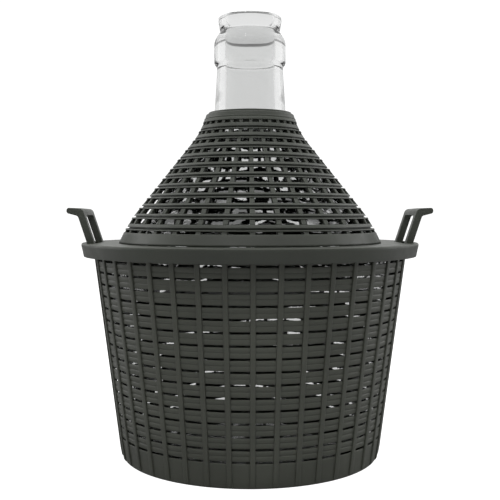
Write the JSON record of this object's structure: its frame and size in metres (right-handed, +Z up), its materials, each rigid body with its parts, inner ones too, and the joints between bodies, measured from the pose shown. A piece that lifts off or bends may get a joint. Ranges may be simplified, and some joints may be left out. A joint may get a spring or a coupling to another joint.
{
  "type": "carboy",
  "caption": "Glass carboy in a tapered lattice basket with two lifting handles, under a conical lattice lid that leaves the neck free.",
  "frame": {"origin": "centre of the basket's underside, on the surface that the carboy stands on", "axes": "+Z up along the axis of the bottle, handles at +X and -X"},
  "size_m": [0.426, 0.3984, 0.521],
  "materials": {
    "basket_plastic": "moulded, semi-matte, dark grey-green",
    "lid_plastic": "moulded, semi-matte, dark grey-green",
    "clear_glass": "clear, polished, slightly uneven"
  },
  "bodies": {
    "basket": {"basket_base": "basket_plastic", "basket_wall": "basket_plastic", "basket_rim": "basket_plastic", "handle_left": "basket_plastic", "handle_right": "basket_plastic"},
    "carboy": {"glass_carboy": "clear_glass"},
    "lid": {"lid_flange": "lid_plastic", "lid_cone": "lid_plastic", "lid_collar": "lid_plastic"}
  },
  "joints": [
    {"name": "carboy_lift", "type": "slide", "parent": "basket", "child": "carboy", "axis": [0, 0, 1], "range_m": [0, 0.3], "deforming": ["handle_left", "handle_right"]},
    {"name": "lid_lift", "type": "slide", "parent": "carboy", "child": "lid", "axis": [0, 0, 1], "range_m": [0, 0.3]}
  ]
}
